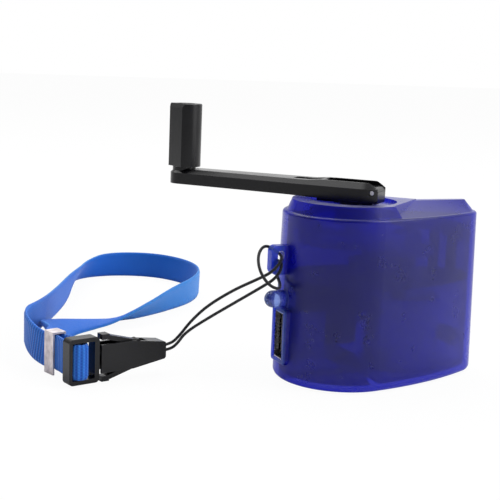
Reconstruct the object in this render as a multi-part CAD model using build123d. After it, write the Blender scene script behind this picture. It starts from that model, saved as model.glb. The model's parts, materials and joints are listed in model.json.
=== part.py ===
from build123d import *
import os
from math import acos, atan2, cos, degrees, hypot, pi, radians, sin, sqrt, tan

# Hand crank phone charger, millimetres, +Z up.
# Origin: the foot of the crank's axis on the base plane. +X points to the nose, the port faces -X.

# ---------- general clearances ----------
wall_gap = 0.3          # between pieces that only lie near each other
fit_gap = 0.03          # radial, between pieces fixed on or in each other
running_gap = 0.06      # radial, a shaft in its bush
side_gap = 0.2          # beside a piece that turns between two others

# ---------- housing ----------
port_end_radius = 18.9      # outline's round end, at the base
port_end_x = -1.7           # its centre
nose_radius = 8.8           # outline's small end, at the base
nose_centre_x = 31.3
flank_radius = 100.0        # the two long sides, tangent to both ends
draft_angle = 1.15          # the walls lean in towards the top
wall = 1.8
base_fillet = 1.8
ledge_fillet = 0.8
platform_height = 50.0      # raised top round the crank
platform_rise = 3.1         # above the rim of the side wall
platform_chamfer = 2.5      # how far its sloping edge runs in
rim_ledge = 0.2             # flat left on the rim outside each slope
platform_shoulder_x = 5.0   # where the raised top starts to narrow to a point
platform_shoulder_y = 13.7
platform_tip_x = 20.0
platform_end_slope = 1.6    # length of the slope along those two edges
ridge_drop = 0.25           # ridge of the roof beside the raised top, below its level
ridge_half_width = 0.8
ridge_end_x = 36.2
dish_radius = 12.0          # sunk round the crank's hub
dish_depth = 1.1
attic_inset = 7.5           # hollow under the platform, inside the outline
roof = 1.5                  # over that hollow

# ---------- crank ----------
crank_angle = 133.7         # the way the arm points at rest, from +X
pin_offset = 6.5            # hinge pin from the crank's axis, away from the arm
pin_rise = 2.75             # hinge pin above the raised top
pin_radius = 0.6
pin_inset = 1.1             # each end of the pin, inside the arm's full width
arm_length = 59.3           # pin to grip axis
arm_half_width = 5.6
arm_thickness = 4.4
arm_bevel = 1.2             # along the arm's top edges
arm_waist = 20.0            # from the pin, where the arm starts to narrow
arm_tip_radius = 4.0
cheek_end = 2.6             # arm's end beyond the pin, and half the cheeks' height
cheek_corner = 5.4          # that end seen from above
cheek_over = cheek_end - arm_thickness / 2
cheek_full = 6.0            # from the pin, where the drop starts to shrink
cheek_fade = 24.0           # where it is gone
channel_half_width = 3.6
channel_length = 13.2       # from the pin
groove_start = 15.5         # shallow groove on the arm's top, from the pin
groove_length = 8.5
groove_depth = 0.8
groove_half_width = 2.0
grip_boss_radius = 3.4
grip_boss_height = 0.4
hub_rise = 1.4              # hub's top above the pin
hub_tail = 4.6              # hub beyond the crank's axis, towards the arm
ledge_length = 3.4          # step that the resting arm lies on
grip_radius = 4.75
grip_flat = 3.45            # grip's axis to its flat side
grip_flat_angle = 194.0     # the way the flat faces
grip_height = 18.3
grip_bore_radius = 2.6
grip_floor = 2.4
grip_shoulder = 1.1         # how far the flat side's top is cut down
axle_radius = 1.3
axle_head_radius = 2.2
axle_head_height = 1.4
shaft_radius = 2.0
shaft_bottom = 37.2
bush_wall = 1.6
bush_flange = 1.4
bush_flange_thickness = 1.2
clip_radius = 3.6
clip_thickness = 0.7

# ---------- gear train ----------
drive_teeth = 48
pinion_teeth = 12
coarse_module = 0.6
wheel_one_teeth = 30
wheel_two_teeth = 27
rotor_teeth = 12
fine_module = 0.5
drive_bottom = 38.0
drive_thickness = 2.6
wheel_one_bottom = 34.4
wheel_two_bottom = 31.0
wheel_thickness = 2.2
axle_pin_radius = 0.8
gear_bore_wall = 1.0
pinion_margin = 0.3          # a small gear's teeth run past the wheel beside them

# ---------- plates, generator ----------
plate_above_lamp = 4.0      # lamp's centre to the gear plate
plate_thickness = 1.6
bridge_bottom = 42.3
bridge_thickness = 1.4
bridge_post_x = 30.0
bridge_post_y = 4.6
bridge_post_radius = 1.5
can_radius = 11.0
can_wall = 0.8
can_height = 19.6
can_bottom = 2.1
cap_thickness = 1.2
coil_radius = 9.9
coil_bore = 7.5
coil_height = 15.0
magnet_radius = 6.6
magnet_height = 12.0
rotor_shaft_radius = 0.75

# ---------- board and port ----------
board_thickness = 1.2
board_gap = 0.1             # beside the port's shell
board_left = -16.6
board_right = 4.6
board_bottom = 8.4
board_top = 25.6
port_height = 12.8          # centre of the port above the base
port_shell_length = 13.2    # along Z
port_shell_width = 5.7      # along Y
port_shell_depth = 12.8     # along X
port_shell_wall = 0.3
port_frame_length = 15.6
port_frame_width = 8.8
port_frame_proud = 0.7      # past the round end
port_frame_corner = 1.0
tongue_thickness = 1.85
tongue_width = 10.8
tongue_setback = 1.6
contact_pitch = 2.3
contact_width = 1.0
lamp_above_port = 10.2      # centre to centre
lamp_radius = 2.4
lamp_reach = 5.0            # dome past the round end
lamp_flange_radius = 2.9
lamp_flange_length = 1.0
lead_radius = 0.25
lead_spacing = 2.54
wire_radius = 0.45

# ---------- strap eye ----------
eye_reach = 4.1             # past the round end
eye_bottom = 29.9
eye_top = 37.9
eye_thickness = 2.8
eye_hole_reach = 1.3        # hole's centre past the round end
eye_hole_height = 34.7
eye_hole_width = 1.9
eye_hole_length = 3.6

# ---------- housing screws ----------
screw_radius = 1.25
screw_head_radius = 2.2
screw_head_height = 1.6
screw_boss_radius = 2.6
screw_reach = 5.0           # each way from the middle plane
screw_seat_y = 3.2          # underside of the head
screw_places = [(34.2, 40.5), (34.2, 9.5), (-13.4, 43.6), (0.6, 4.1)]

# ---------- buckle ----------
buckle_x = -74.5            # strap bar's centre
buckle_y = 9.8
buckle_z = 6.6
buckle_angle = 14.9         # the way the buckle points, from +X
buckle_length = 26.1        # bar to the socket's tail
bar_radius = 1.05
frame_reach = 3.9           # frame beyond the bar
frame_half_height = 6.3
frame_rail = 1.0
frame_depth = 3.6
frame_end = 5.2
stem_half_height = 1.7
stem_length = 19.4
plate_gap = 3.1             # between the socket's two faces
socket_plate = 0.75
socket_mouth = 5.6
socket_half_height = 3.9
socket_tail_half_height = 2.4
socket_tail = 20.4          # where the solid tail starts
wing_root_u = 17.6
wing_root_v = 3.0
wing_root_radius = 1.0
wing_tip_u = 7.6
wing_tip_v = 5.75
wing_thickness = 1.3
wing_depth = 2.7

# ---------- strap ----------
webbing_width = 9.6
webbing_thickness = 1.2
layer_gap = 0.3
strap_gap = 0.25            # between the webbing and the bar
ferrule_x = -78.3
ferrule_y = 21.6
ferrule_length = 4.6
ferrule_wall = 0.5
# Middle of the webbing, from the crimp round the loop and back to it.
strap_route = [
    (-80.6, 38.0),
    (-80.2, 55.0),
    (-72.6, 74.0),
    (-61.4, 94.0),
    (-52.6, 117.0),
    (-41.0, 137.0),
    (-24.0, 148.6),
    (-8.4, 140.0),
    (-2.6, 123.0),
    (-6.4, 106.0),
    (-18.6, 91.0),
    (-34.0, 79.0),
    (-50.0, 72.6),
    (-64.6, 62.4),
    (-73.6, 47.0),
    (-76.4, 34.0),
]

# ---------- cord ----------
cord_radius = 0.42
# The cord's own route: out of the buckle, through the eye, round the hitch's loop, back.
cord_route = [
    (-46.3, 17.3, 7.35),
    (-44.0, 16.4, 10.0),
    (-42.2, 13.4, 14.4),
    (-38.6, 9.9, 19.6),
    (-32.8, 5.0, 24.9),
    (-28.2, 0.2, 28.5),
    (-24.8, -3.0, 31.2),
    (-21.9, -3.1, 35.0),
    (-21.9, 2.8, 36.0),
    (-25.0, 3.1, 37.6),
    (-28.0, 0.6, 35.4),
    (-28.9, -3.0, 31.6),
    (-27.0, -5.4, 28.0),
    (-23.6, -4.9, 26.6),
    (-21.7, -1.2, 27.3),
    (-21.4, 2.4, 29.2),
    (-21.9, 3.1, 33.6),
    (-21.9, -3.0, 33.4),
    (-24.0, -3.7, 29.6),
    (-27.8, -1.2, 26.4),
    (-33.1, 3.9, 21.4),
    (-38.8, 9.4, 16.0),
    (-43.6, 13.4, 11.4),
    (-44.8, 16.2, 7.6),
    (-46.5, 17.25, 5.85),
]

# ---------- derived ----------
round_end_x = port_end_x - port_end_radius
wall_height = platform_height - platform_rise
ridge_height = platform_height - ridge_drop
pin_height = platform_height + pin_rise
lamp_height = port_height + lamp_above_port
plate_bottom = lamp_height + plate_above_lamp
arm_top = pin_height + arm_thickness / 2
arm_bottom = pin_height - arm_thickness / 2
grip_bottom = arm_top + grip_boss_height + side_gap
dish_floor = platform_height - dish_depth
hub_bottom = dish_floor + wall_gap
train_one_x = coarse_module * (drive_teeth + pinion_teeth) / 2
train_two_x = train_one_x - fine_module * (wheel_one_teeth + pinion_teeth) / 2
rotor_x = train_two_x + fine_module * (wheel_two_teeth + rotor_teeth) / 2
bush_outer = shaft_radius + running_gap + bush_wall
frame_face_x = round_end_x - port_frame_proud
board_y = port_shell_width / 2 + board_gap


def box(x0, x1, y0, y1, z0, z1):
    block = Box(x1 - x0, y1 - y0, z1 - z0)
    return Pos((x0 + x1) / 2, (y0 + y1) / 2, (z0 + z1) / 2) * block


def rod(radius, z0, z1, x=0.0, y=0.0):
    return Pos(x, y, (z0 + z1) / 2) * Cylinder(radius, z1 - z0)


def rod_x(radius, x0, x1, y, z):
    return Pos((x0 + x1) / 2, y, z) * Rot(0, 90, 0) * Cylinder(radius, x1 - x0)


def rod_y(radius, y0, y1, x, z):
    return Pos(x, (y0 + y1) / 2, z) * Rot(90, 0, 0) * Cylinder(radius, y1 - y0)


# ---------- housing ----------
def teardrop(big, big_x, small, small_x, long_radius, inset, height):
    # Round port end, two long arcs and a small nose, each tangent to the next.
    length = small_x - big_x
    to_port = long_radius - big
    to_nose = long_radius - small
    mid_x = (to_port ** 2 - to_nose ** 2 + length ** 2) / (2 * length)
    mid_y = sqrt(to_port ** 2 - mid_x ** 2)
    port_r = big - inset
    nose_r = small - inset
    side_r = long_radius - inset
    ax = big_x - port_r * mid_x / to_port
    ay = port_r * mid_y / to_port
    bx = small_x + nose_r * (length - mid_x) / to_nose
    by = nose_r * mid_y / to_nose
    sx = (ax + bx) / 2
    sy = sqrt(side_r ** 2 - (sx - big_x - mid_x) ** 2) - mid_y
    top = ThreePointArc((bx, by), (sx, sy), (ax, ay))
    left = ThreePointArc((ax, ay), (big_x - port_r, 0), (ax, -ay))
    low = ThreePointArc((ax, -ay), (sx, -sy), (bx, -by))
    nose = ThreePointArc((bx, -by), (small_x + nose_r, 0), (bx, by))
    return Pos(0, 0, height) * make_face([top, left, low, nose])


def outline(inset, height):
    return teardrop(port_end_radius, port_end_x, nose_radius, nose_centre_x, flank_radius, inset, height)


def platform_plan(shift, height):
    # What is kept of the raised top: up to two straight edges that meet over the ridge.
    shoulder = platform_shoulder_x + shift
    tip = platform_tip_x + shift
    side = platform_shoulder_y
    corners = [(-60, -60), (shoulder, -60), (shoulder, -side), (tip, 0), (shoulder, side), (shoulder, 60)]
    return Pos(0, 0, height) * make_face(Polyline(corners + [(-60, 60)], close=True))


def raised_top():
    # The platform round the crank with its sloping edge.
    lean = wall_height * tan(radians(draft_angle))
    foot = outline(lean + ledge_fillet + 2 * rim_ledge, wall_height)
    crown = outline(lean + platform_chamfer, platform_height)
    plan = loft([platform_plan(platform_end_slope, wall_height), platform_plan(0, platform_height)], ruled=True)
    return loft([foot, crown], ruled=True) & plan


def roof_slopes():
    # From the rim of the wall up to a narrow ridge that runs to the nose.
    lean = wall_height * tan(radians(draft_angle))
    foot = outline(lean + ledge_fillet + rim_ledge, wall_height)
    half = ridge_half_width
    ridge = teardrop(half, port_end_x, half * 0.98, ridge_end_x - half, 400, 0, ridge_height)
    return loft([foot, ridge], ruled=True)


def shell():
    outer = extrude(outline(0, 0), wall_height, taper=draft_angle)
    outer = fillet(outer.edges().group_by(Axis.Z)[0], base_fillet)
    outer = fillet(outer.edges().group_by(Axis.Z)[-1], ledge_fillet)
    outer = outer + roof_slopes() + raised_top()
    hollow = extrude(outline(wall, wall), wall_height - 2 * wall, taper=draft_angle)
    lean = wall_height * tan(radians(draft_angle))
    attic = extrude(outline(lean + attic_inset, wall_height - wall - 1), platform_height)
    attic = attic & box(-30, platform_shoulder_x - wall, -30, 30, 0, dish_floor - roof)
    outer = outer - hollow - attic
    return outer - rod(dish_radius, dish_floor, platform_height + 5)


def eye_plate():
    body = box(round_end_x - eye_reach, round_end_x + 2.5, -eye_thickness / 2, eye_thickness / 2,
               eye_bottom, eye_top)
    corners = body.edges().filter_by(Axis.Y).group_by(Axis.X)[0]
    body = fillet(corners, 1.6)
    hole_x = round_end_x - eye_hole_reach
    run = eye_hole_length - eye_hole_width
    slot = box(hole_x - eye_hole_width / 2, hole_x + eye_hole_width / 2, -9, 9,
               eye_hole_height - run / 2, eye_hole_height + run / 2)
    slot = slot + rod_y(eye_hole_width / 2, -9, 9, hole_x, eye_hole_height - run / 2)
    slot = slot + rod_y(eye_hole_width / 2, -9, 9, hole_x, eye_hole_height + run / 2)
    return body - slot


def port_frame():
    half = port_frame_width / 2
    low = port_height - port_frame_length / 2
    high = port_height + port_frame_length / 2
    body = box(frame_face_x, round_end_x + 3.2, -half, half, low, high)
    body = fillet(body.edges().filter_by(Axis.X), port_frame_corner)
    return fillet(body.faces().sort_by(Axis.X)[0].edges(), 0.4)


def port_cut():
    gap = wall_gap / 3
    return box(frame_face_x - 1, round_end_x + 6, -port_shell_width / 2 - gap, port_shell_width / 2 + gap,
               port_height - port_shell_length / 2 - gap, port_height + port_shell_length / 2 + gap)


def screw_boss(x, z):
    # One post from each side wall to the middle plane, ending inside the wall.
    post = rod_y(screw_boss_radius, -30, 30, x, z)
    return post & extrude(outline(wall / 2, wall / 2), wall_height - wall, taper=draft_angle)


def screw_bore(x, z):
    bore = rod_y(screw_radius + fit_gap, -screw_reach - 0.6, screw_seat_y, x, z)
    well = rod_y(screw_head_radius + side_gap, screw_seat_y, 30, x, z)
    return bore + well


def housing():
    body = shell()
    for x, z in screw_places:
        body = body + screw_boss(x, z)
    for x, z in screw_places:
        body = body - screw_bore(x, z)
    lamp_boss = rod_x(lamp_flange_radius + 0.8, round_end_x + 0.6, round_end_x + 3.6, 0, lamp_height)
    body = body + eye_plate() + port_frame() + lamp_boss
    body = body - port_cut()
    collar = rod(bush_outer + 1.4, dish_floor - 4.4, dish_floor)
    body = body + collar
    body = body - rod(bush_outer + fit_gap, dish_floor - 9, dish_floor + 9)
    flange = rod(bush_outer + bush_flange + fit_gap, dish_floor - 4.4 - 9, dish_floor - 4.4)
    body = body - flange
    shelf = extrude(outline(wall - 0.4, plate_bottom - 1.2), 1.2)
    shelf = shelf - extrude(outline(wall + 1.4, plate_bottom - 2), 4)
    body = body + shelf
    body = body - rod_x(lamp_radius + wall_gap / 3, round_end_x - 9, round_end_x + 9, 0, lamp_height)
    return body - rod_x(lamp_flange_radius + wall_gap / 3, round_end_x + 1.8, round_end_x + 9, 0, lamp_height)


def housing_half(whole, sign):
    block = box(-60, 60, 0, 60, -5, 70) if sign > 0 else box(-60, 60, -60, 0, -5, 70)
    return whole & block


# ---------- gears ----------
def gear(teeth, module, thickness, bottom, bore, turn, x):
    pitch_radius = module * teeth / 2
    tip = pitch_radius + 0.8 * module
    root = pitch_radius - 1.15 * module
    points = []
    for n in range(teeth):
        middle = turn + 360.0 * n / teeth
        for radius, share in ((root, -0.31), (tip, -0.11), (tip, 0.11), (root, 0.31)):
            angle = radians(middle + share * 360.0 / teeth)
            points.append((radius * cos(angle), radius * sin(angle)))
    blank = extrude(make_face(Polyline(points, close=True)), thickness)
    return Pos(x, 0, bottom) * (blank - Pos(0, 0, thickness / 2) * Cylinder(bore, thickness * 3))


def drive_gear():
    return gear(drive_teeth, coarse_module, drive_thickness, drive_bottom, shaft_radius + fit_gap, 0.0, 0.0)


def gear_one():
    # Small gear in mesh with the drive gear, with the large fine wheel under it.
    bore = axle_pin_radius + running_gap
    small_bottom = wheel_one_bottom + wheel_thickness
    small_height = drive_bottom + drive_thickness + pinion_margin - small_bottom
    small = gear(pinion_teeth, coarse_module, small_height, small_bottom, bore,
                 180.0 / pinion_teeth, train_one_x)
    large = gear(wheel_one_teeth, fine_module, wheel_thickness, wheel_one_bottom, bore,
                 180.0 / wheel_one_teeth, train_one_x)
    return small + large


def gear_two():
    bore = axle_pin_radius + running_gap
    small_bottom = wheel_two_bottom + wheel_thickness
    small_height = wheel_one_bottom + wheel_thickness + pinion_margin - small_bottom
    small = gear(pinion_teeth, fine_module, small_height, small_bottom, bore, 0.0, train_two_x)
    large = gear(wheel_two_teeth, fine_module, wheel_thickness, wheel_two_bottom, bore, 0.0, train_two_x)
    return small + large


def rotor_pinion():
    height = wheel_thickness + 2 * pinion_margin
    return gear(rotor_teeth, fine_module, height, wheel_two_bottom - pinion_margin,
                rotor_shaft_radius + fit_gap, 180.0 + 180.0 / rotor_teeth, rotor_x)


def gear_axle_one():
    # Hangs from the bridge.
    return rod(axle_pin_radius, wheel_one_bottom - 0.3, bridge_bottom + bridge_thickness, train_one_x)


def gear_axle_two():
    # Stands on the plate and ends under the drive gear.
    return rod(axle_pin_radius, plate_bottom, drive_bottom - 0.6, train_two_x)


def gear_plate():
    inset = wall + plate_bottom * tan(radians(draft_angle)) + 0.15
    body = extrude(outline(inset, plate_bottom), plate_thickness)
    top = plate_bottom + plate_thickness
    body = body + rod(axle_pin_radius + gear_bore_wall, top, wheel_two_bottom - side_gap, train_two_x)
    body = body - rod(axle_pin_radius + fit_gap, 0, 60, train_two_x)
    body = body - rod(rotor_shaft_radius + running_gap, 0, 60, rotor_x)
    for side in (-1, 1):
        body = body - rod(bridge_post_radius * 0.6 + fit_gap, 0, 60, bridge_post_x, side * bridge_post_y)
    return body


def gear_bridge():
    # Small plate over the train, on two posts near the nose.
    top = bridge_bottom + bridge_thickness
    body = box(train_one_x - 3, bridge_post_x + 2, -bridge_post_y - 1.6, bridge_post_y + 1.6, bridge_bottom, top)
    body = fillet(body.edges().filter_by(Axis.Z), 1.5)
    floor = plate_bottom + plate_thickness
    for side in (-1, 1):
        body = body + rod(bridge_post_radius, floor, bridge_bottom, bridge_post_x, side * bridge_post_y)
        body = body + rod(bridge_post_radius * 0.6, plate_bottom, floor, bridge_post_x, side * bridge_post_y)
    return body - rod(axle_pin_radius + fit_gap, 0, 60, train_one_x)


# ---------- generator ----------
def generator_can():
    top = can_bottom + can_height
    body = rod(can_radius, can_bottom, top, rotor_x)
    body = body - rod(can_radius - can_wall, can_bottom + can_wall, top + 1, rotor_x)
    return body - rod(rotor_shaft_radius + running_gap, 0, 60, rotor_x)


def generator_cap():
    low = can_bottom + can_height
    body = rod(can_radius, low, low + cap_thickness, rotor_x)
    boss_top = plate_bottom
    body = body + rod(3.0, low + cap_thickness, boss_top, rotor_x)
    return body - rod(rotor_shaft_radius + running_gap, 0, 60, rotor_x)


def generator_coil():
    low = can_bottom + can_wall
    body = rod(coil_radius, low, low + coil_height, rotor_x)
    body = body - rod(coil_radius - 0.8, low + 1.5, low + coil_height - 1.5, rotor_x)
    body = body + rod(coil_radius - 0.5, low + 1.5, low + coil_height - 1.5, rotor_x)
    return body - rod(coil_bore, 0, 60, rotor_x)


def rotor_magnet():
    low = can_bottom + can_wall + (coil_height - magnet_height) / 2
    body = rod(magnet_radius, low, low + magnet_height, rotor_x)
    return body - rod(rotor_shaft_radius + fit_gap, 0, 60, rotor_x)


def rotor_shaft():
    return rod(rotor_shaft_radius, can_bottom, wheel_two_bottom + wheel_thickness, rotor_x)


# ---------- board and port ----------
def port_shell():
    half_y = port_shell_width / 2
    half_z = port_shell_length / 2
    body = box(frame_face_x + 0.3, frame_face_x + 0.3 + port_shell_depth, -half_y, half_y,
               port_height - half_z, port_height + half_z)
    inner = box(frame_face_x - 1, frame_face_x + port_shell_depth, -half_y + port_shell_wall,
                half_y - port_shell_wall, port_height - half_z + port_shell_wall,
                port_height + half_z - port_shell_wall)
    return body - inner


def tongue_low():
    # The tongue lies against the shell's +Y wall side, with its contacts facing -Y.
    return port_shell_width / 2 - port_shell_wall - 0.75 - tongue_thickness


def port_tongue():
    low = tongue_low()
    back = frame_face_x + port_shell_depth
    body = box(frame_face_x + 0.3 + tongue_setback, back, low, low + tongue_thickness,
               port_height - tongue_width / 2, port_height + tongue_width / 2)
    half_y = port_shell_width / 2 - port_shell_wall
    half_z = port_shell_length / 2 - port_shell_wall
    block = box(back - 2.4, back, -half_y, half_y, port_height - half_z, port_height + half_z)
    return body + block


def port_contacts():
    low = tongue_low()
    strips = []
    for n in (-1.5, -0.5, 0.5, 1.5):
        z = port_height + n * contact_pitch
        strips.append(box(frame_face_x + 2.4, frame_face_x + port_shell_depth - 2.6, low - 0.2, low,
                          z - contact_width / 2, z + contact_width / 2))
    return Compound(children=strips)


def circuit_board():
    far = board_y + board_thickness
    body = box(board_left, board_right, board_y, far, board_bottom, board_top)
    return body


def storage_capacitor():
    body = rod_y(3.1, board_y - 8.0, board_y, 0.6, 21.6)
    return fillet(body.edges(), 0.4)


def rectifier_diodes():
    bodies = []
    for n in range(4):
        z = 9.8 + 3.2 * (n % 2)
        x = -7.6 + 5.6 * (n // 2)
        bodies.append(rod_x(1.25, x, x + 4.2, board_y - 1.25, z))
    return Compound(children=bodies)


def regulator_chip():
    return box(-10.6, -5.4, board_y - 1.5, board_y, 21.2, 24.8)


def indicator_lamp():
    tip = round_end_x - lamp_reach
    body = rod_x(lamp_radius, tip + lamp_radius, round_end_x + 2.4, 0, lamp_height)
    dome = Pos(tip + lamp_radius, 0, lamp_height) * Sphere(lamp_radius)
    flange_start = round_end_x + 2.0
    flange = rod_x(lamp_flange_radius, flange_start, flange_start + lamp_flange_length, 0, lamp_height)
    return body + dome + flange


def lamp_leads():
    start = round_end_x + 2.0 + lamp_flange_length
    leads = []
    for side in (-1, 1):
        z = lamp_height + side * lead_spacing / 2
        path = FilletPolyline([(start, 0, z), (start + 3.0, 0, z), (start + 3.0, board_y, z)], radius=0.9)
        section = Plane(path @ 0, z_dir=path % 0) * Circle(lead_radius)
        leads.append(sweep(section, path=path))
    return Compound(children=leads)


def generator_wires():
    wires = []
    for side in (-1, 1):
        y = side * 1.6 - 4.6
        x = rotor_x - sqrt(can_radius ** 2 - (abs(y) - wire_radius) ** 2) - board_gap
        z = 18.0 - side * 0.9
        points = [(x, y, z), (x - 2.6, y, z), (x - 4.4, y + 2.0, z - 1.6), (x - 4.4, board_y, z - 1.6)]
        path = FilletPolyline(points, radius=[1.1, 1.0])
        section = Plane(path @ 0, z_dir=path % 0) * Circle(wire_radius)
        wires.append(sweep(section, path=path))
    return Compound(children=wires)


def housing_screws():
    screws = []
    for x, z in screw_places:
        body = rod_y(screw_radius, -screw_reach, screw_seat_y, x, z)
        body = body + rod_y(screw_head_radius, screw_seat_y, screw_seat_y + screw_head_height, x, z)
        body = body - rod_y(0.7, screw_seat_y + 0.7, screw_seat_y + 3, x, z)
        screws.append(body)
    return Compound(children=screws)


# ---------- crank ----------
def crank_place():
    # The crank is drawn with the arm along +X from the pin, and set at its resting angle.
    return Rot(0, 0, crank_angle) * Pos(-pin_offset, 0, 0)


def crank_bush():
    top = dish_floor
    low = dish_floor - 4.4
    body = rod(bush_outer, low, top)
    body = body + rod(bush_outer + bush_flange, low - bush_flange_thickness, low)
    return body - rod(shaft_radius + running_gap, 0, 90)


def crank_shaft():
    return rod(shaft_radius, shaft_bottom, hub_bottom)


def shaft_clip():
    body = rod(clip_radius, shaft_bottom, shaft_bottom + clip_thickness)
    body = body - rod(shaft_radius + fit_gap, 0, 90)
    return body - box(0, 9, -1.0, 1.0, 0, 90)


def crank_hub():
    # Drawn with the pin at x = 0 and the crank's axis at x = pin_offset.
    half = channel_half_width - side_gap
    end = pin_offset + hub_tail
    top = pin_height + hub_rise
    body = box(0, end, -half, half, hub_bottom, top)
    body = fillet(body.edges().filter_by(Axis.Y).group_by(Axis.X)[-1].sort_by(Axis.Z)[-1:], 0.8)
    body = body + rod_y(hub_rise, -half, half, 0, pin_height)
    body = body + box(-hub_rise, 0, -half, half, hub_bottom + 0.6, pin_height)
    step_end = channel_length + ledge_length
    body = body + box(end - 1, step_end, -half + 1.2, half - 1.2, hub_bottom, arm_bottom - 0.1)
    body = body - rod_y(pin_radius + fit_gap, -9, 9, 0, pin_height)
    return crank_place() * body


def hinge_pin():
    reach = arm_half_width - pin_inset
    return crank_place() * rod_y(pin_radius, -reach, reach, 0, pin_height)


def arm_side():
    # The arm seen from the side: round end at the pin, deep cheeks, thinner blade.
    low = arm_bottom - cheek_over
    high = arm_top + cheek_over
    points = [
        (0, high),
        (channel_length + 2, high),
        (channel_length + 6, arm_top),
        (arm_length + arm_tip_radius, arm_top),
        (arm_length + arm_tip_radius, arm_bottom),
        (cheek_fade, arm_bottom),
        (cheek_full, low),
        (0, low),
    ]
    side = make_face(Polyline(points, close=True))
    body = extrude(Plane.XZ * side, arm_half_width, both=True)
    end_block = box(-cheek_end, 0.0, -arm_half_width, arm_half_width, low, high)
    rounding = rod_y(cheek_end, -arm_half_width, arm_half_width, 0, pin_height)
    return body + (end_block & rounding)


def arm_plan(inset, height):
    # The arm seen from above: rounded corners at the pin, narrowing to a round tip.
    half = arm_half_width - inset
    tip = arm_tip_radius - inset
    end = -cheek_end + inset
    corner = cheek_corner - inset
    flat = half - corner
    start = end + corner
    bulge = corner * sqrt(0.5)
    edges = [
        Line((start, half), (arm_waist, half)),
        Line((arm_waist, half), (arm_length, tip)),
        ThreePointArc((arm_length, tip), (arm_length + tip, 0), (arm_length, -tip)),
        Line((arm_length, -tip), (arm_waist, -half)),
        Line((arm_waist, -half), (start, -half)),
        ThreePointArc((start, -half), (start - bulge, -flat - bulge), (end, -flat)),
        Line((end, -flat), (end, flat)),
        ThreePointArc((end, flat), (start - bulge, flat + bulge), (start, half)),
    ]
    return Pos(0, 0, height) * make_face(edges)


def arm_blank():
    # Upright sides with a bevel along their top edges.
    shoulder = arm_top - arm_bevel
    above = arm_bevel + cheek_over
    lower = loft([arm_plan(0, arm_bottom - 2), arm_plan(0, shoulder)], ruled=True)
    upper = loft([arm_plan(0, shoulder), arm_plan(above, shoulder + above)], ruled=True)
    return lower + upper


def crank_arm():
    body = arm_side() & arm_blank()
    body = body - box(-9, channel_length, -channel_half_width, channel_half_width, 0, 90)
    body = body - box(channel_length - 1, cheek_fade, -channel_half_width, channel_half_width, 0, arm_bottom)
    groove_end = groove_start + groove_length
    body = body - box(groove_start, groove_end, -groove_half_width, groove_half_width,
                      arm_top - groove_depth, 90)
    body = body - box(channel_length - 1, channel_length + 1.3, -channel_half_width + 0.8,
                      channel_half_width - 0.8, pin_height + 0.4, 90)
    body = body + rod(grip_boss_radius, arm_top - arm_bevel, arm_top + grip_boss_height, arm_length)
    body = body - rod(axle_radius + fit_gap, arm_bottom + 0.6, arm_top + 9, arm_length)
    body = body - rod_y(pin_radius + running_gap, -9, 9, 0, pin_height)
    return crank_place() * body


def grip_place():
    return crank_place() * Pos(arm_length, 0, 0)


def crank_grip():
    low = grip_bottom
    high = grip_bottom + grip_height
    turn = grip_flat_angle - crank_angle
    body = rod(grip_radius, low, high)
    body = body - box(-20, -grip_flat, -20, 20, 0, 90)
    body = fillet(body.edges().group_by(Axis.Z)[-1], 0.35)
    slope = Polyline([(-20, high - grip_shoulder), (-grip_flat, high - grip_shoulder), (-grip_flat + 1.2, high + 1),
                      (-20, high + 1)], close=True)
    body = body - extrude(Plane.XZ * make_face(slope), 20, both=True)
    body = body - rod(grip_bore_radius, low + grip_floor, 90)
    body = body - rod(axle_radius + running_gap, 0, 90)
    return grip_place() * Rot(0, 0, turn + 180) * body


def grip_axle():
    seat = grip_bottom + grip_floor + side_gap / 2
    body = rod(axle_radius, arm_bottom + 0.7, seat)
    body = body + rod(axle_head_radius, seat, seat + axle_head_height)
    body = body - box(-3, 3, -0.3, 0.3, seat + 0.7, 90)
    body = body - box(-0.3, 0.3, -3, 3, seat + 0.7, 90)
    return grip_place() * body


# ---------- buckle ----------
def buckle_place():
    # Buckle frame: x along the buckle from the strap bar, z its height, y its thickness.
    return Pos(buckle_x, buckle_y, buckle_z) * Rot(0, 0, buckle_angle)


def buckle_tongue():
    half = frame_depth / 2
    body = box(-frame_reach, frame_end, -half, half, -frame_half_height, frame_half_height)
    body = fillet(body.edges().filter_by(Axis.Y), 1.2)
    window = box(-frame_reach + frame_rail, frame_end - 1.4, -9, 9, -webbing_width / 2 - 0.3,
                 webbing_width / 2 + 0.3)
    body = body - window
    body = body + rod(bar_radius, -webbing_width / 2 - 0.6, webbing_width / 2 + 0.6)
    stem_half = plate_gap / 2 - side_gap
    stem = box(frame_end - 1, stem_length, -stem_half, stem_half, -stem_half_height, stem_half_height)
    head = box(wing_root_u - 2.4, stem_length, -stem_half, stem_half, -wing_root_v, wing_root_v)
    body = body + stem + fillet(head.edges().filter_by(Axis.Y), 0.5)
    for side in (-1, 1):
        body = body - rod_y(wing_root_radius + running_gap, -9, 9, wing_root_u, side * wing_root_v)
        slot = wing_shape(side, wing_thickness + 0.7)
        body = body - slot
    return buckle_place() * body


def wing_shape(side, thickness):
    # A straight arm from the root, swept back to its free end.
    run_u = wing_tip_u - wing_root_u
    run_v = (wing_tip_v - wing_root_v) * side
    length = hypot(run_u, run_v)
    angle = degrees(atan2(run_v, run_u))
    blade = Pos(length / 2, 0, 0) * Box(length, wing_depth, thickness)
    return Pos(wing_root_u, 0, wing_root_v * side) * Rot(0, -angle, 0) * blade


def buckle_wing(side):
    blade = wing_shape(side, wing_thickness)
    pad = box(wing_tip_u - 1.4, wing_tip_u + 0.9, -wing_depth / 2, wing_depth / 2, -0.75, 0.75)
    pad = Pos(0, 0, side * (wing_tip_v + 0.05)) * pad
    root = rod_y(wing_root_radius, -wing_depth / 2, wing_depth / 2, wing_root_u, side * wing_root_v)
    body = blade + pad + root
    return buckle_place() * body


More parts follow.
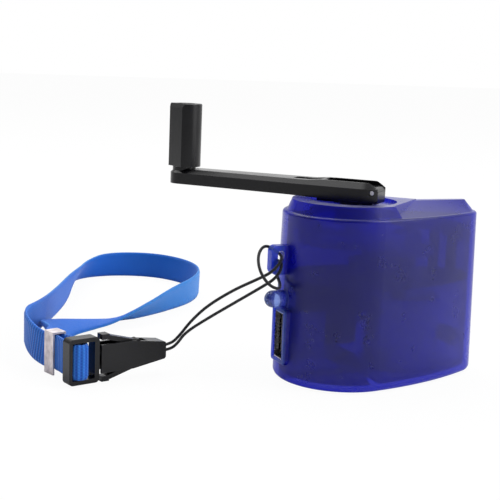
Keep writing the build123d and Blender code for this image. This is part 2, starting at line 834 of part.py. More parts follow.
def buckle_socket():
    inner = plate_gap / 2
    outer = inner + socket_plate
    points = [
        (socket_mouth, -socket_half_height),
        (wing_root_u - 2, -socket_half_height),
        (buckle_length, -socket_tail_half_height),
        (buckle_length, socket_tail_half_height),
        (wing_root_u - 2, socket_half_height),
        (socket_mouth, socket_half_height),
    ]
    side = make_face(Polyline(points, close=True))
    body = extrude(Plane.XZ * side, outer, both=True)
    body = fillet(body.edges().filter_by(Axis.Y).group_by(Axis.X)[-1], 0.8)
    body = body - box(socket_mouth - 1, socket_tail, -inner, inner, -9, 9)
    return buckle_place() * body


# ---------- strap ----------
def parallel_side(points, radii, shift):
    # The rounded route moved sideways by shift, to its left where shift is positive.
    moved = []
    changed = []
    vectors = [Vector(*p) for p in points]
    ways = [(b - a).normalized() for a, b in zip(vectors[:-1], vectors[1:])]
    for n, here in enumerate(vectors):
        before = ways[max(n - 1, 0)]
        after = ways[min(n, len(ways) - 1)]
        left = Vector(-(before.Y + after.Y), before.X + after.X).normalized()
        spread = left.dot(Vector(-after.Y, after.X))
        place = here + left * (shift / spread)
        moved.append((place.X, place.Y))
        if 0 < n < len(vectors) - 1:
            side = 1 if before.X * after.Y - before.Y * after.X > 0 else -1
            changed.append(radii[n - 1] - side * shift)
    return FilletPolyline(moved, radius=changed)


def ribbon(points, thickness, height, bottom, radii):
    path = FilletPolyline(points, radius=radii)
    left = parallel_side(points, radii, thickness / 2)
    right = parallel_side(points, radii, -thickness / 2)
    face = make_face([left, Line(left @ 1, right @ 1), right, Line(right @ 0, left @ 0)])
    return Pos(0, 0, bottom) * extrude(face, height), path


def corner_radii(points, share, limit=1e9):
    radii = []
    for before, here, after in zip(points[:-2], points[1:-1], points[2:]):
        first = Vector(*here) - Vector(*before)
        second = Vector(*after) - Vector(*here)
        turn = radians(first.get_angle(second))
        shorter = min(first.length, second.length)
        radii.append(min(limit, share * shorter / tan(turn / 2)))
    return radii


def crimp_frame():
    # Crimp's centre, the way from it to the buckle's bar, and the way across.
    middle = Vector(ferrule_x, ferrule_y)
    bar = Vector(buckle_x, buckle_y)
    along = (bar - middle).normalized()
    across = Vector(-along.Y, along.X)
    return middle, bar, along, across


def wrist_strap():
    # The wrist loop, on edge, with both ends in the crimp.
    layer = (webbing_thickness + layer_gap) / 2
    middle, bar, along, across = crimp_frame()
    ends = [middle - across * layer, middle + across * layer]
    lead_in = ends[0] - along * 8.0
    lead_out = ends[1] - along * 7.0
    points = [ends[0], lead_in] + [Vector(*p) for p in strap_route] + [lead_out, ends[1]]
    points = [(p.X, p.Y) for p in points]
    radii = corner_radii(points, 0.45)
    body, path = ribbon(points, webbing_thickness, webbing_width, 0.0, radii)
    print("strap length", round(path.length, 1), "volume share",
          round(body.volume / (path.length * webbing_width * webbing_thickness), 4))
    print("strap radii", [round(r, 1) for r in radii])
    return body


def strap_link():
    # The short turn of webbing round the buckle's bar, at the buckle's height.
    layer = (webbing_thickness + layer_gap) / 2
    middle, bar, along, across = crimp_frame()
    turn = bar_radius + strap_gap + webbing_thickness / 2
    start = middle - across * layer + along * 0.4
    back = middle + across * layer + along * 0.4
    points = [start, start + along * 3.0, bar - along * 2.6 - across * turn, bar + along * turn - across * turn]
    points = points + [bar + along * turn + across * turn, bar - along * 2.6 + across * turn]
    points = points + [back + along * 3.0, back]
    points = [(p.X, p.Y) for p in points]
    radii = [6.0, 6.0, turn * 0.99, turn * 0.99, 6.0, 6.0]
    low = buckle_z - webbing_width / 2
    body, path = ribbon(points, webbing_thickness, webbing_width, low, radii)
    print("link length", round(path.length, 1))
    return body


def strap_ferrule():
    # A metal strip folded over the two layers.
    half = webbing_thickness + layer_gap / 2 + 0.15
    outer = half + ferrule_wall
    top = buckle_z + webbing_width / 2 + 0.2
    body = box(-ferrule_length / 2, ferrule_length / 2, -outer, outer, 0.2, top + ferrule_wall)
    body = body - box(-9, 9, -half, half, -1, top)
    angle = degrees(atan2(buckle_y - ferrule_y, buckle_x - ferrule_x))
    return Pos(ferrule_x, ferrule_y, 0) * Rot(0, 0, angle) * body


# ---------- cord ----------
def lanyard_cord():
    tail = buckle_place() * Pos(buckle_length, 0, 0)
    ends = []
    for side in (1, -1):
        spot = tail * Pos(0, 0.0, side * 0.75)
        ends.append(tuple(spot.position))
    points = [ends[0]] + cord_route + [ends[1]]
    radii = corner_radii(points, 0.45)
    path = FilletPolyline(points, radius=radii)
    section = Plane(path @ 0, z_dir=path % 0) * Circle(cord_radius)
    body = sweep(section, path=path)
    print("cord length", round(path.length, 1), "volume share",
          round(body.volume / (path.length * pi * cord_radius ** 2), 4))
    print("cord radii", [round(r, 2) for r in radii])
    return body


def build_all():
    whole = housing()
    return {
        "housing_front": housing_half(whole, -1),
        "housing_back": housing_half(whole, 1),
        "housing_screws": housing_screws(),
        "crank_bush": crank_bush(),
        "gear_plate": gear_plate(),
        "gear_bridge": gear_bridge(),
        "gear_axle_one": gear_axle_one(),
        "gear_axle_two": gear_axle_two(),
        "generator_can": generator_can(),
        "generator_cap": generator_cap(),
        "generator_coil": generator_coil(),
        "generator_wires": generator_wires(),
        "circuit_board": circuit_board(),
        "storage_capacitor": storage_capacitor(),
        "rectifier_diodes": rectifier_diodes(),
        "regulator_chip": regulator_chip(),
        "usb_shell": port_shell(),
        "usb_tongue": port_tongue(),
        "usb_contacts": port_contacts(),
        "indicator_lamp": indicator_lamp(),
        "lamp_leads": lamp_leads(),
        "crank_shaft": crank_shaft(),
        "shaft_clip": shaft_clip(),
        "drive_gear": drive_gear(),
        "crank_hub": crank_hub(),
        "hinge_pin": hinge_pin(),
        "crank_arm": crank_arm(),
        "grip_axle": grip_axle(),
        "crank_grip": crank_grip(),
        "gear_one": gear_one(),
        "gear_two": gear_two(),
        "rotor_shaft": rotor_shaft(),
        "rotor_magnet": rotor_magnet(),
        "rotor_pinion": rotor_pinion(),
        "buckle_socket": buckle_socket(),
        "buckle_tongue": buckle_tongue(),
        "buckle_wing_upper": buckle_wing(1),
        "buckle_wing_lower": buckle_wing(-1),
        "strap_ferrule": strap_ferrule(),
        "wrist_strap": wrist_strap(),
        "strap_link": strap_link(),
        "lanyard_cord": lanyard_cord(),
    }


os.makedirs("parts", exist_ok=True)
for node, shape in build_all().items():
    export_step(shape, "parts/" + node + ".step")
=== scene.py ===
import bpy
import bmesh
import json
import math
from mathutils import Matrix, Vector


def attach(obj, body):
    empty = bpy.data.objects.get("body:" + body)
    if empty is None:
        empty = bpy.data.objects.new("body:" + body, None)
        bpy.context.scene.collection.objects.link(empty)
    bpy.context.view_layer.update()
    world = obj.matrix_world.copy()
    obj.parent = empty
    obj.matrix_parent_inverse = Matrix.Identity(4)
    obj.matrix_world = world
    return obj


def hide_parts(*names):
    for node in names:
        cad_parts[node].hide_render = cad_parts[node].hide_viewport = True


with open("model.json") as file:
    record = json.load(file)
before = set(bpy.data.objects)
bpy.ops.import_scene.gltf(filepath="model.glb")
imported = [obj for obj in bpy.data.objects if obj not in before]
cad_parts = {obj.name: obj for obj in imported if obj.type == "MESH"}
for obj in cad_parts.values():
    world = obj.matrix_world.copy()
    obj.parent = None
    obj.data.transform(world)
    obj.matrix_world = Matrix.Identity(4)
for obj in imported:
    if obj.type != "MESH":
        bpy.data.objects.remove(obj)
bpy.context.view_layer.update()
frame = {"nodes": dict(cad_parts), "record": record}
nodes = frame["nodes"]
MM = 0.001


# ---------- camera ----------
CAMERA_AT = (-0.1442, -0.2681, 0.08724)
CAMERA_PITCH = math.radians(9.83)     # looking down
CAMERA_ROLL = math.radians(2.27)
CAMERA_TURN = math.radians(22.97)     # the row's +X lies this far from the camera's right
LENS = 79.2


def make_camera():
    data = bpy.data.cameras.new("camera")
    data.lens = LENS
    data.sensor_width = 36.0
    data.clip_start = 0.01
    data.clip_end = 20.0
    camera = bpy.data.objects.new("camera", data)
    bpy.context.scene.collection.objects.link(camera)
    forward = Vector((0, math.cos(CAMERA_PITCH), -math.sin(CAMERA_PITCH)))
    side = Vector((1, 0, 0))
    up = side.cross(forward)
    right = side * math.cos(CAMERA_ROLL) + up * math.sin(CAMERA_ROLL)
    above = up * math.cos(CAMERA_ROLL) - side * math.sin(CAMERA_ROLL)
    turn = Matrix.Rotation(-CAMERA_TURN, 3, "Z")
    columns = [turn @ right, turn @ above, turn @ -forward]
    rotation = Matrix(columns).transposed()
    camera.matrix_world = Matrix.Translation(CAMERA_AT) @ rotation.to_4x4()
    bpy.context.scene.camera = camera


make_camera()


# ---------- materials ----------
def feed(tree, socket, value):
    """Links a socket to another one, or sets it."""
    if isinstance(value, bpy.types.NodeSocket):
        tree.links.new(value, socket)
    else:
        socket.default_value = value


def maths(tree, operation, a, b):
    node = tree.nodes.new("ShaderNodeMath")
    node.operation = operation
    feed(tree, node.inputs[0], a)
    feed(tree, node.inputs[1], b)
    return node.outputs[0]


def mix_shaders(tree, factor, first, second):
    """The first shader at factor 0, the second at 1."""
    node = tree.nodes.new("ShaderNodeMixShader")
    feed(tree, node.inputs[0], factor)
    tree.links.new(first, node.inputs[1])
    tree.links.new(second, node.inputs[2])
    return node.outputs[0]


def seen_directly(tree):
    """1 for rays from the camera, straight or through something clear, else 0."""
    path = tree.nodes.new("ShaderNodeLightPath")
    camera, clear = path.outputs["Is Camera Ray"], path.outputs["Is Transmission Ray"]
    return maths(tree, "MAXIMUM", camera, clear)


class Material:
    """A node material round one Principled shader, with short calls for its nodes."""

    def __init__(self, name, colour=(0.8, 0.8, 0.8), roughness=0.5, **values):
        self.material = bpy.data.materials.new(name)
        self.material.use_nodes = True
        self.tree = self.material.node_tree
        self.shader = self.tree.nodes["Principled BSDF"]
        self.output = self.tree.nodes["Material Output"]
        self.set("Base Color", (*colour, 1.0))
        self.set("Roughness", roughness)
        for key, value in values.items():
            self.set(key.replace("_", " "), value)
        self.place = self.node("ShaderNodeTexCoord").outputs["Object"]

    def set(self, socket, value):
        self.shader.inputs[socket].default_value = value

    def node(self, kind, **values):
        made = self.tree.nodes.new(kind)
        for key, value in values.items():
            setattr(made, key, value)
        return made

    def link(self, source, target):
        self.tree.links.new(source, target)

    def scaled(self, factors):
        node = self.node("ShaderNodeMapping")
        self.link(self.place, node.inputs["Vector"])
        node.inputs["Scale"].default_value = factors
        return node.outputs["Vector"]

    def noise(self, scale, detail=3.0, roughness=0.55, where=None):
        node = self.node("ShaderNodeTexNoise")
        self.link(self.place if where is None else where, node.inputs["Vector"])
        node.inputs["Scale"].default_value = scale
        node.inputs["Detail"].default_value = detail
        node.inputs["Roughness"].default_value = roughness
        return node.outputs["Fac"]

    def wave(self, scale, where, direction):
        node = self.node("ShaderNodeTexWave", bands_direction=direction)
        self.link(where, node.inputs["Vector"])
        node.inputs["Scale"].default_value = scale
        return node.outputs["Fac"]

    def ramp(self, value, low, high, start=0.0, end=1.0):
        """Low at start, high at end, and held beyond them."""
        node = self.node("ShaderNodeMapRange")
        self.link(value, node.inputs["Value"])
        node.inputs["From Min"].default_value = start
        node.inputs["From Max"].default_value = end
        node.inputs["To Min"].default_value = low
        node.inputs["To Max"].default_value = high
        return node.outputs["Result"]

    def maths(self, operation, a, b=0.0):
        return maths(self.tree, operation, a, b)

    def mix(self, factor, a, b):
        """Colour a at factor 0, colour b at 1."""
        node = self.node("ShaderNodeMix", data_type="RGBA")
        feed(self.tree, node.inputs[0], factor)
        feed(self.tree, node.inputs[6], (*a, 1.0) if isinstance(a, tuple) else a)
        feed(self.tree, node.inputs[7], (*b, 1.0) if isinstance(b, tuple) else b)
        return node.outputs[2]

    def colour(self, socket):
        self.link(socket, self.shader.inputs["Base Color"])

    def roughness(self, socket):
        self.link(socket, self.shader.inputs["Roughness"])

    def surface(self, shader):
        self.link(shader, self.output.inputs["Surface"])

    def bump(self, height, strength, distance):
        node = self.node("ShaderNodeBump")
        node.inputs["Strength"].default_value = strength
        node.inputs["Distance"].default_value = distance
        self.link(height, node.inputs["Height"])
        self.link(node.outputs["Normal"], self.shader.inputs["Normal"])
        return node.outputs["Normal"]

    def sharp_edges(self, radius=0.0006):
        """1 on sharp edges, 0 elsewhere."""
        bevel = self.node("ShaderNodeBevel", samples=4)
        bevel.inputs["Radius"].default_value = radius
        plain = self.node("ShaderNodeNewGeometry")
        dot = self.node("ShaderNodeVectorMath", operation="DOT_PRODUCT")
        self.link(bevel.outputs["Normal"], dot.inputs[0])
        self.link(plain.outputs["Normal"], dot.inputs[1])
        return self.ramp(dot.outputs["Value"], 1.0, 0.0, 0.86, 0.995)


def moulded(name, dark, light, low, high, edge=(0.1, 0.1, 0.11), **values):
    """Moulded plastic: faint flow marks, fine grain and lighter edges."""
    m = Material(name, dark, low, **values)
    flow = m.noise(60.0, 2.0)
    fine = m.noise(900.0, 2.0)
    tone = m.mix(m.ramp(flow, 0.0, 1.0, 0.35, 0.65), dark, light)
    worn = m.maths("MULTIPLY", m.sharp_edges(), m.ramp(m.noise(500.0), 0.0, 0.8, 0.4, 0.65))
    m.colour(m.mix(worn, tone, edge))
    m.roughness(m.maths("ADD", m.ramp(flow, low, high, 0.3, 0.7), m.ramp(fine, -0.03, 0.03)))
    m.bump(fine, 0.12, 0.00004)
    return m


def metal(name, tone, worn_tone, low, high, stretch=(1, 1, 1), **values):
    """Metal with drawn or rolled marks and a little tarnish."""
    m = Material(name, tone, low, Metallic=1.0, **values)
    marks = m.noise(1400.0, 4.0, 0.6, m.scaled(stretch))
    tarnish = m.noise(160.0, 3.0)
    m.colour(m.mix(m.ramp(tarnish, 0.0, 0.7, 0.4, 0.75), tone, worn_tone))
    m.roughness(m.ramp(marks, low, high, 0.3, 0.7))
    m.bump(marks, 0.1, 0.00003)
    return m


SHELL_IOR = 1.5
SHELL_GLOW = 0.30                     # share of scattered light in the milky parts
SHELL_CLEAR = (0.50, 0.58)            # share of light that goes straight through
SHELL_SHINE = 0.85                    # of the full reflection, outside only
THIN_FROM, THIN_TO = -0.0213, -0.0207     # the eye and the port's frame lie past here, in x


def shell_plastic():
    """Clear blue plastic, a little milky: part of the light goes straight through it and
    part is scattered, under a satin surface. Thin parts past the round end look paler."""
    m = Material("shell_blue", (0.01, 0.012, 0.22), 0.5)
    m.set("Specular IOR Level", 0.0)
    cloud = m.noise(38.0, 2.0)
    frost = m.noise(1500.0, 3.0, 0.65)
    scuff_and_highlight_noise = m.noise(150.0, 3.0, 0.6)
    split = m.node("ShaderNodeSeparateXYZ")
    m.link(m.place, split.inputs[0])
    thin = m.ramp(split.outputs[0], 1.0, 0.0, THIN_FROM, THIN_TO)
    cloudy = m.ramp(cloud, 0.0, 1.0, 0.3, 0.7)
    tone = m.mix(cloudy, (0.004, 0.005, 0.19), (0.009, 0.010, 0.28))
    # Painted highlight and scuffs: every sharp edge is made lighter, by a quarter at least. This
    # is partly for scuffs and partly for the light that the rounded edges catch.
    edge_highlight_and_scuffs = m.maths("MULTIPLY", m.sharp_edges(0.0009), m.ramp(scuff_and_highlight_noise, 0.25, 0.6, 0.35, 0.65))
    tone = m.mix(edge_highlight_and_scuffs, tone, (0.09, 0.10, 0.42))
    tone = m.mix(m.maths("MULTIPLY", thin, 0.75), tone, (0.035, 0.15, 0.62))
    m.colour(tone)
    m.roughness(m.ramp(scuff_and_highlight_noise, 0.45, 0.55))
    normal = m.bump(frost, 0.06, 0.00003)
    glow = m.node("ShaderNodeBsdfTranslucent")
    m.link(m.mix(thin, (0.03, 0.04, 0.80), (0.12, 0.36, 1.0)), glow.inputs["Color"])
    m.link(normal, glow.inputs["Normal"])
    clear = m.node("ShaderNodeBsdfTransparent")
    clear.inputs["Color"].default_value = (0.20, 0.22, 0.92, 1.0)
    satin = m.node("ShaderNodeBsdfGlossy")
    m.link(m.ramp(scuff_and_highlight_noise, 0.27, 0.35, 0.35, 0.7), satin.inputs["Roughness"])
    m.link(normal, satin.inputs["Normal"])
    grazing = m.node("ShaderNodeFresnel")
    grazing.inputs["IOR"].default_value = SHELL_IOR
    m.link(normal, grazing.inputs["Normal"])
    side = m.node("ShaderNodeNewGeometry")
    outside = m.maths("SUBTRACT", SHELL_SHINE, side.outputs["Backfacing"])
    shine = m.maths("MAXIMUM", m.maths("MULTIPLY", grazing.outputs[0], outside), 0.0)
    milky = mix_shaders(m.tree, SHELL_GLOW, m.shader.outputs[0], glow.outputs[0])
    through = m.ramp(cloud, *SHELL_CLEAR, 0.3, 0.7)
    body = mix_shaders(m.tree, through, milky, clear.outputs[0])
    m.surface(mix_shaders(m.tree, shine, body, satin.outputs[0]))
    return m


def lamp_plastic():
    m = Material("lamp_clear", (0.3, 0.42, 0.85), 0.05, IOR=1.5, Transmission_Weight=0.85)
    swirl = m.noise(700.0, 2.0)
    m.colour(m.mix(swirl, (0.12, 0.20, 0.62), (0.34, 0.46, 0.88)))
    m.roughness(m.ramp(swirl, 0.02, 0.12, 0.3, 0.7))
    return m


WEAVE_PITCH = 0.0006
RIB_PITCH = 0.0011
THREAD_PITCH = 0.0008


def webbing(name, dark, light, ribbed=False):
    """Woven webbing. Its own map runs in metres: u along the band, v across it."""
    m = Material(name, dark, 0.62, Sheen_Weight=0.1, Sheen_Roughness=0.4)
    m.set("Specular IOR Level", 0.3)
    uv = m.node("ShaderNodeUVMap", uv_map="weave")
    split = m.node("ShaderNodeSeparateXYZ")
    m.link(uv.outputs["UV"], split.inputs[0])
    u, v = split.outputs[0], split.outputs[1]
    pitch = RIB_PITCH if ribbed else WEAVE_PITCH
    rows = m.maths("SINE", m.maths("MULTIPLY", u, 2 * math.pi / pitch))
    threads = m.maths("SINE", m.maths("MULTIPLY", v, 2 * math.pi / THREAD_PITCH))
    weave = m.maths("MULTIPLY", rows, threads)
    height = m.maths("ADD", m.maths("MULTIPLY", rows, 0.8 if ribbed else 0.25),
                     m.maths("MULTIPLY", weave, 0.35))
    fibre = m.noise(2600.0, 3.0)
    height = m.maths("ADD", height, m.maths("MULTIPLY", fibre, 0.4))
    tone = m.mix(m.ramp(height, 0.0, 1.0, -0.8, 1.2), dark, light)
    patch = m.noise(45.0, 2.0)
    tone = m.mix(m.ramp(patch, 0.0, 0.35, 0.4, 0.7), tone, light)
    m.colour(tone)
    m.roughness(m.ramp(fibre, 0.52, 0.74, 0.3, 0.7))
    m.bump(height, 0.55 if ribbed else 0.2, 0.00022 if ribbed else 0.00008)
    return m


def braid():
    m = Material("cord_black", (0.008, 0.008, 0.009), 0.7, Sheen_Weight=0.3)
    m.set("Specular IOR Level", 0.25)
    one = m.wave(620.0, m.place, "DIAGONAL")
    two = m.wave(620.0, m.scaled((-1, 1, 1)), "DIAGONAL")
    over = m.maths("MAXIMUM", one, two)
    m.colour(m.mix(over, (0.004, 0.004, 0.005), (0.020, 0.020, 0.022)))
    m.roughness(m.ramp(over, 0.85, 0.6))
    m.bump(over, 0.5, 0.00008)
    return m


def wound_copper():
    m = Material("copper", (0.72, 0.3, 0.13), 0.3, Metallic=0.9)
    turns = m.wave(700.0, m.place, "Z")
    m.colour(m.mix(turns, (0.36, 0.11, 0.035), (0.80, 0.36, 0.15)))
    m.roughness(m.ramp(turns, 0.5, 0.25))
    m.bump(turns, 0.6, 0.0001)
    return m


def circuit_green():
    m = Material("board_green", (0.01, 0.16, 0.05), 0.4)
    cells = m.node("ShaderNodeTexVoronoi", feature="DISTANCE_TO_EDGE")
    m.link(m.place, cells.inputs["Vector"])
    cells.inputs["Scale"].default_value = 420.0
    tracks = m.ramp(cells.outputs["Distance"], 0.0, 1.0, 0.08, 0.12)
    m.colour(m.mix(tracks, (0.02, 0.26, 0.09), (0.006, 0.12, 0.035)))
    m.roughness(m.ramp(tracks, 0.3, 0.45))
    m.bump(tracks, 0.2, 0.00003)
    return m


def crimped_tin():
    m = Material("crimp_metal", (0.7, 0.62, 0.64), 0.42, Metallic=0.55)
    dent = m.noise(330.0, 3.0)
    fine = m.noise(2200.0, 2.0)
    dented = m.ramp(dent, 0.0, 1.0, 0.35, 0.65)
    m.colour(m.mix(dented, (0.52, 0.46, 0.48), (0.84, 0.77, 0.78)))
    m.roughness(m.ramp(fine, 0.34, 0.55, 0.3, 0.7))
    m.bump(dent, 0.5, 0.0002)
    return m


finishes = {
    "shell_blue": shell_plastic(),
    "black_plastic": moulded("black_plastic", (0.0035, 0.0035, 0.0045), (0.007, 0.007, 0.0085),
                             0.17, 0.28, edge=(0.03, 0.03, 0.034), Specular_IOR_Level=0.3),
    "dark_plastic": moulded("dark_plastic", (0.02, 0.02, 0.022), (0.03, 0.03, 0.033), 0.4, 0.5),
    "white_plastic": moulded("white_plastic", (0.66, 0.65, 0.62), (0.74, 0.73, 0.70), 0.4, 0.5,
                             edge=(0.8, 0.8, 0.78)),
    "steel": metal("steel", (0.56, 0.56, 0.58), (0.38, 0.37, 0.36), 0.2, 0.38),
    "plated_steel": metal("plated_steel", (0.74, 0.73, 0.72), (0.55, 0.52, 0.50), 0.16, 0.34,
                          stretch=(0.2, 1, 1)),
    "brass": metal("brass", (0.78, 0.55, 0.22), (0.5, 0.32, 0.12), 0.22, 0.4),
    "copper": wound_copper(),
    "magnet": metal("magnet", (0.16, 0.16, 0.17), (0.10, 0.10, 0.10), 0.35, 0.55),
    "wire_red": moulded("wire_red", (0.42, 0.02, 0.015), (0.5, 0.03, 0.02), 0.35, 0.45,
                        edge=(0.5, 0.08, 0.06)),
    "board_green": circuit_green(),
    "lamp_clear": lamp_plastic(),
    "crimp_metal": crimped_tin(),
    "webbing_blue": webbing("webbing_blue", (0.014, 0.15, 0.50), (0.03, 0.22, 0.63)),
    "cord_black": braid(),
}
# Painted shade: a darker copy of the webbing, put on one side of the band to stand for the shade
# that side gets.
webbing_shaded_side = webbing("webbing_shaded_side", (0.003, 0.10, 0.50), (0.008, 0.14, 0.60))
webbing_ribbed = webbing("webbing_ribbed", (0.004, 0.06, 0.40), (0.03, 0.21, 0.76), ribbed=True)

for row in frame["record"]["subparts"]:
    if row["material_slot"] in finishes:
        for slot in nodes[row["node"]].material_slots:
            slot.material = finishes[row["material_slot"]].material


# ---------- curves and meshes ----------
def add_object(name, data):
    made = bpy.data.objects.new(name, data)
    bpy.context.scene.collection.objects.link(made)
    return made


def nurbs(name, points, radius=0.0):
    """One open NURBS curve in metres, with these points, in mm, as its control points."""
    curve = bpy.data.curves.new(name, "CURVE")
    curve.dimensions = "3D"
    curve.resolution_u = 24
    curve.bevel_depth = radius * MM
    curve.bevel_resolution = 4
    curve.use_fill_caps = True
    spline = curve.splines.new("NURBS")
    spline.points.add(len(points) - 1)
    for place, point in zip(spline.points, points):
        place.co = (point[0] * MM, point[1] * MM, point[2] * MM, 1.0)
    spline.order_u = 3
    spline.use_endpoint_u = True
    return curve


def line_of(curve):
    """Points along a curve that has no bevel."""
    made = add_object("measure", curve)
    mesh = bpy.data.meshes.new_from_object(made)
    points = [v.co.copy() for v in mesh.vertices]
    bpy.data.objects.remove(made)
    bpy.data.meshes.remove(mesh)
    return points


def lengths(points):
    along = [0.0]
    for a, b in zip(points[:-1], points[1:]):
        along.append(along[-1] + (b - a).length)
    return along


def evenly(points, step):
    """The line again, with points about step apart."""
    along = lengths(points)
    count = max(2, round(along[-1] / step))
    out = []
    k = 0
    for n in range(count + 1):
        at = along[-1] * n / count
        while k < len(along) - 2 and along[k + 1] < at:
            k += 1
        span = max(along[k + 1] - along[k], 1e-12)
        out.append(points[k].lerp(points[k + 1], min(1.0, (at - along[k]) / span)))
    return out


# ---------- cord ----------
# Same points as the cord's route in the CAD source: out of the buckle, through the eye,
# round the hitch's loop and back.
CORD_RADIUS = 0.42
CORD_ROUTE = [
    (-49.28, 16.51, 7.35),
    (-46.3, 17.3, 7.35),
    (-44.0, 16.4, 10.0),
    (-42.2, 13.4, 14.4),
    (-38.6, 9.9, 19.6),
    (-32.8, 5.0, 24.9),
    (-28.2, 0.2, 28.5),
    (-24.8, -3.0, 31.2),
    (-21.9, -3.1, 35.0),
    (-21.9, 2.8, 36.0),
    (-25.0, 3.1, 37.6),
    (-28.0, 0.6, 35.4),
    (-28.9, -3.0, 31.6),
    (-27.0, -5.4, 28.0),
    (-23.6, -4.9, 26.6),
    (-21.7, -1.2, 27.3),
    (-21.4, 2.4, 29.2),
    (-21.9, 3.1, 33.6),
    (-21.9, -3.0, 33.4),
    (-24.0, -3.7, 29.6),
    (-27.8, -1.2, 26.4),
    (-33.1, 3.9, 21.4),
    (-38.8, 9.4, 16.0),
    (-43.6, 13.4, 11.4),
    (-44.8, 16.2, 7.6),
    (-46.5, 17.25, 5.85),
    (-49.28, 16.51, 5.85),
]
cord = add_object("lanyard", nurbs("lanyard", CORD_ROUTE, CORD_RADIUS))
cord.data.materials.append(finishes["cord_black"].material)
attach(cord, "housing")
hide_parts("lanyard_cord")


# ---------- webbing ----------
WEB_WIDTH = 9.6
WEB_THICKNESS = 1.1
WEB_STEP = 0.0011                     # between rings of the mesh
WEB_ACROSS = 10                       # faces across each side
WEB_EDGE, WEB_ROUND = 0.42, 0.08      # where the edge starts to thin and over what, of the width
WEB_EDGE_LOSS = 0.55                  # of the thickness, at the very edge
RIBBED_START, RIBBED_END = 0.047, 0.045   # coarser webbing at the crimp and round the bar
LEAN_UNIT = 10.0                      # degrees to each mm of the curve of leans
# Middle of the webbing in mm, and how far the band leans from standing on its edge, in
# degrees: out of the crimp, round the wrist loop, back through the crimp, round the
# buckle's bar and into the crimp again.
WEB_ROUTE = [
    (-79.0, 21.4, 6.0, 0),
    (-81.4, 25.6, 6.6, 0),
    (-83.2, 30.6, 8.0, 0),
    (-83.4, 37.0, 9.2, 0),
    (-81.8, 43.0, 9.6, 0),
    (-77.4, 51.0, 9.0, -4),
    (-71.0, 67.0, 7.2, -6),
    (-62.4, 88.0, 5.6, -4),
    (-54.0, 108.0, 5.2, -6),
    (-46.8, 127.0, 4.8, -28),
    (-41.5, 142.0, 4.4, -36),
    (-29.0, 150.5, 4.8, -10),
    (-12.0, 145.6, 4.9, 0),
    (-3.2, 131.0, 4.9, 0),
    (-2.6, 113.0, 4.9, 0),
    (-11.0, 96.5, 4.9, 6),
    (-25.0, 83.5, 4.7, 22),
    (-40.0, 72.6, 3.2, 52),
    (-50.5, 69.6, 1.5, 84),
    (-58.5, 67.8, 1.6, 98),
    (-66.4, 63.0, 2.4, 112),
    (-72.4, 52.6, 3.9, 132),
    (-75.4, 41.0, 5.2, 160),
    (-76.8, 33.0, 5.8, 176),
    (-79.4, 28.5, 6.2, 180),
    (-77.6, 21.8, 6.5, 180),
    (-74.2, 17.0, 6.6, 180),
    (-72.6, 9.9, 6.6, 180),
    (-72.9, 7.6, 6.6, 180),
    (-75.4, 7.0, 6.6, 180),
    (-77.0, 9.0, 6.6, 180),
    (-77.6, 15.5, 6.6, 180),
    (-78.8, 21.0, 6.6, 180),
]


def strap_ring(mesh, here, way, lean):
    """Vertices round the band at one place, each with how far across the band it lies."""
    left = Vector((0, 0, 1)).cross(way).normalized()
    upright = way.cross(left).normalized()
    wide = upright * math.cos(lean) + left * math.sin(lean)
    thin = way.cross(wide).normalized()
    ring = []
    for side in (1, -1):
        for j in range(WEB_ACROSS + 1):
            v = (j / WEB_ACROSS - 0.5) * side
            edge = 1.0 - max(0.0, (abs(v) - WEB_EDGE) / WEB_ROUND) ** 2 * WEB_EDGE_LOSS
            over = thin * (side * edge * WEB_THICKNESS * MM / 2)
            spot = here + wide * (v * WEB_WIDTH * MM) + over
            ring.append((mesh.verts.new(spot), v * WEB_WIDTH * MM))
    return ring


def strap_rings(mesh, line, along, raw):
    """A ring at each point of the even line; the leans follow the raw line's points."""
    leans = line_of(nurbs("lean", [(n, p[3] / LEAN_UNIT, 0.0) for n, p in enumerate(WEB_ROUTE)]))
    along_raw = lengths(raw)
    rings = []
    k = 0
    for n, here in enumerate(line):
        way = (line[min(n + 1, len(line) - 1)] - line[max(n - 1, 0)]).normalized()
        while k < len(raw) - 2 and along_raw[k + 1] < along[n]:
            k += 1
        lean = math.radians(leans[k].y * (LEAN_UNIT / MM))
        rings.append(strap_ring(mesh, here, way, lean))
    return rings


def strap_mesh():
    """The webbing with its weave map, its middle line and its length."""
    raw = line_of(nurbs("route", [Vector(p[:3]) for p in WEB_ROUTE]))
    line = evenly(raw, WEB_STEP)
    along = lengths(line)
    total = along[-1]
    mesh = bmesh.new()
    layer = mesh.loops.layers.uv.new("weave")
    rings = strap_rings(mesh, line, along, raw)
    size = len(rings[0])
    for n, (a, b) in enumerate(zip(rings[:-1], rings[1:])):
        sa, sb = along[n], along[n + 1]
        ribbed = (sa + sb) / 2 < RIBBED_START or (sa + sb) / 2 > total - RIBBED_END
        for j in range(size):
            q = (j + 1) % size
            corners = ((a[j], sa), (a[q], sa), (b[q], sb), (b[j], sb))
            face = mesh.faces.new([vert for (vert, v), u in corners])
            face.smooth = True
            for loop, ((vert, v), u) in zip(face.loops, corners):
                loop[layer].uv = (u, v)
            if ribbed:
                face.material_index = 2
            # Faces on this side of the band take the darker copy of the webbing, as painted
            # shade.
            elif j < WEB_ACROSS:
                face.material_index = 1
    for ring in (rings[0], rings[-1]):
        mesh.faces.new([vert for vert, v in ring])
    bmesh.ops.recalc_face_normals(mesh, faces=mesh.faces)
    data = bpy.data.meshes.new("webbing")
    mesh.to_mesh(data)
    mesh.free()
    return data, line, total


strap_data, strap_line, strap_length = strap_mesh()
strap = add_object("webbing", strap_data)
for finish in (finishes["webbing_blue"], webbing_shaded_side, webbing_ribbed):
    strap.data.materials.append(finish.material)
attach(strap, "strap_end")
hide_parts("wrist_strap", "strap_link")
print("webbing length", round(strap_length, 4))


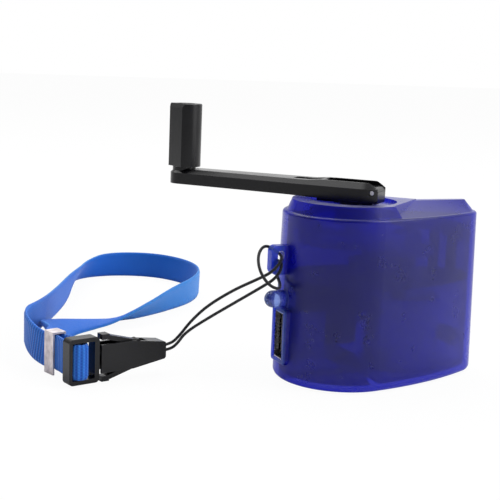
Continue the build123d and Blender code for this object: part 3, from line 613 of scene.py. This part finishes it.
# ---------- floor and light ----------
FLOOR_HALF = 4.0
FLOOR_DROP = 0.0002                   # below the object, so that the two faces don't flicker
FLOOR_GLOW = 0.95                     # share of plain white where the camera sees the floor
ROOM_RIGHT, ROOM_BACK, ROOM_ABOVE = 0.45, 0.40, 0.35
ROOM_MIDDLE, ROOM_LEAST, ROOM_MOST = 0.38, 0.08, 1.0


def make_floor():
    data = bpy.data.meshes.new("floor")
    half = FLOOR_HALF
    corners = [(-half, -half, 0), (half, -half, 0), (half, half, 0), (-half, half, 0)]
    data.from_pydata(corners, [], [(0, 1, 2, 3)])
    floor = add_object("floor", data)
    floor.location.z = -FLOOR_DROP
    m = Material("floor", (0.86, 0.86, 0.86), 0.9)
    m.set("Specular IOR Level", 0.1)
    paper = m.noise(35.0, 3.0)
    m.colour(m.mix(paper, (0.84, 0.84, 0.85), (0.88, 0.88, 0.88)))
    white = m.node("ShaderNodeEmission")
    white.inputs["Strength"].default_value = 1.0
    glow = m.maths("MULTIPLY", seen_directly(m.tree), FLOOR_GLOW)
    m.surface(mix_shaders(m.tree, glow, m.shader.outputs[0], white.outputs[0]))
    floor.data.materials.append(m.material)


def make_world():
    """A soft room: pale above, behind and to the right, darker in front and to the left."""
    world = bpy.data.worlds.new("world")
    bpy.context.scene.world = world
    world.use_nodes = True
    tree = world.node_tree
    tree.nodes.clear()
    output = tree.nodes.new("ShaderNodeOutputWorld")
    coords = tree.nodes.new("ShaderNodeTexCoord")
    split = tree.nodes.new("ShaderNodeSeparateXYZ")
    tree.links.new(coords.outputs["Generated"], split.inputs[0])
    across = maths(tree, "MULTIPLY", split.outputs[0], ROOM_RIGHT)
    back = maths(tree, "MULTIPLY", split.outputs[1], ROOM_BACK)
    above = maths(tree, "MULTIPLY", split.outputs[2], ROOM_ABOVE)
    room = maths(tree, "ADD", maths(tree, "ADD", across, back), above)
    room = maths(tree, "MAXIMUM", maths(tree, "ADD", room, ROOM_MIDDLE), ROOM_LEAST)
    room = maths(tree, "MINIMUM", room, ROOM_MOST)
    soft = tree.nodes.new("ShaderNodeBackground")
    tree.links.new(room, soft.inputs["Strength"])
    white = tree.nodes.new("ShaderNodeBackground")
    white.inputs["Strength"].default_value = 1.0
    for node in (soft, white):
        node.inputs["Color"].default_value = (1, 1, 1, 1)
    shown = mix_shaders(tree, seen_directly(tree), soft.outputs[0], white.outputs[0])
    tree.links.new(shown, output.inputs["Surface"])


def make_lamp(name, place, target, size, power):
    data = bpy.data.lights.new(name, "AREA")
    data.shape = "SQUARE"
    data.size = size
    data.energy = power
    lamp = add_object(name, data)
    lamp.location = place
    way = Vector(target) - Vector(place)
    lamp.rotation_mode = "QUATERNION"
    lamp.rotation_quaternion = way.to_track_quat("-Z", "Y")


make_floor()
make_world()
make_lamp("key", (0.55, -0.35, 0.75), (0.0, 0.04, 0.02), 0.5, 4.5)
make_lamp("side", (0.75, -0.62, 0.16), (0.0, 0.0, 0.03), 0.55, 1.6)
make_lamp("top", (-0.1, 0.45, 0.9), (-0.03, 0.05, 0.0), 0.9, 6.0)

bpy.context.scene.view_settings.view_transform = "Standard"
